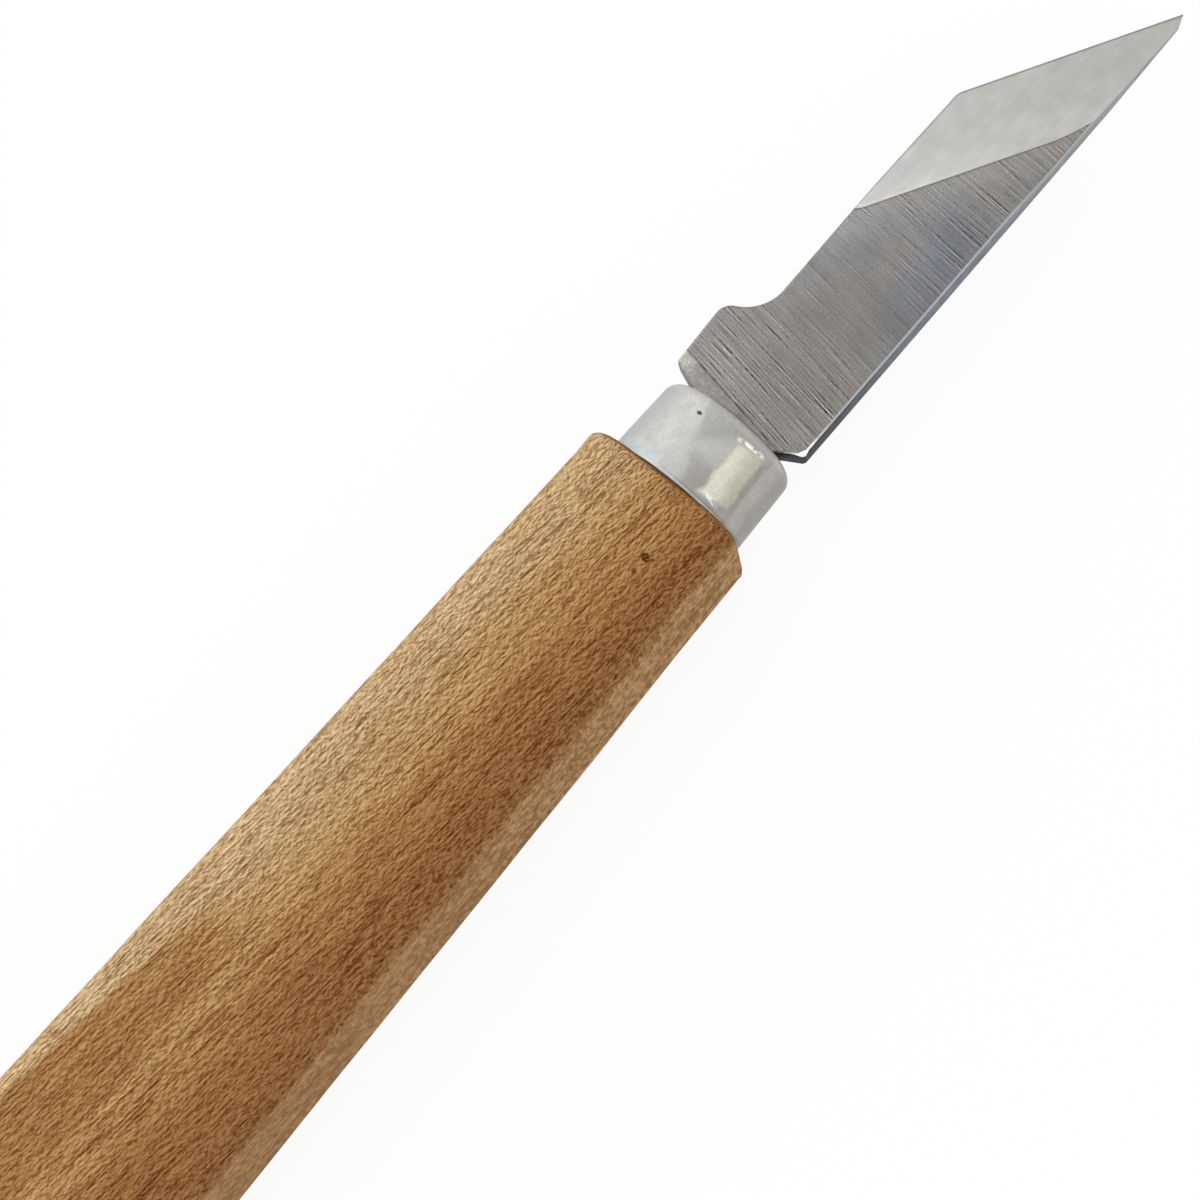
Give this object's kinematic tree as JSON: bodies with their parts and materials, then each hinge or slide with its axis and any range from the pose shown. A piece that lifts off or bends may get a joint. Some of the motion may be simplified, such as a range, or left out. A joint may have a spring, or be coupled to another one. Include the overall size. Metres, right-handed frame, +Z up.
{
  "type": "wood carving knife",
  "caption": "Fixed-blade wood carving knife with a skew-edged steel blade, a plain aluminium ferrule and a tapered, round-edged wooden handle.",
  "frame": {"origin": "on the surface the knife lies on, under the middle of its length, on the knife's axis", "axes": "+X along the knife's axis towards the tip, +Y towards the side of the cutting edge, +Z up, square to the blade's flat"},
  "size_m": [0.1734, 0.0224, 0.017],
  "materials": {
    "blade_steel": "ground across, with a polished bevel",
    "ferrule_metal": "satin",
    "handle_wood": "sanded fruit wood, thinly oiled",
    "bedding_resin": "set clear resin"
  },
  "bodies": {
    "root": {"blade": "blade_steel", "ferrule": "ferrule_metal", "handle": "handle_wood", "tang_bedding": "bedding_resin"}
  },
  "joints": []
}
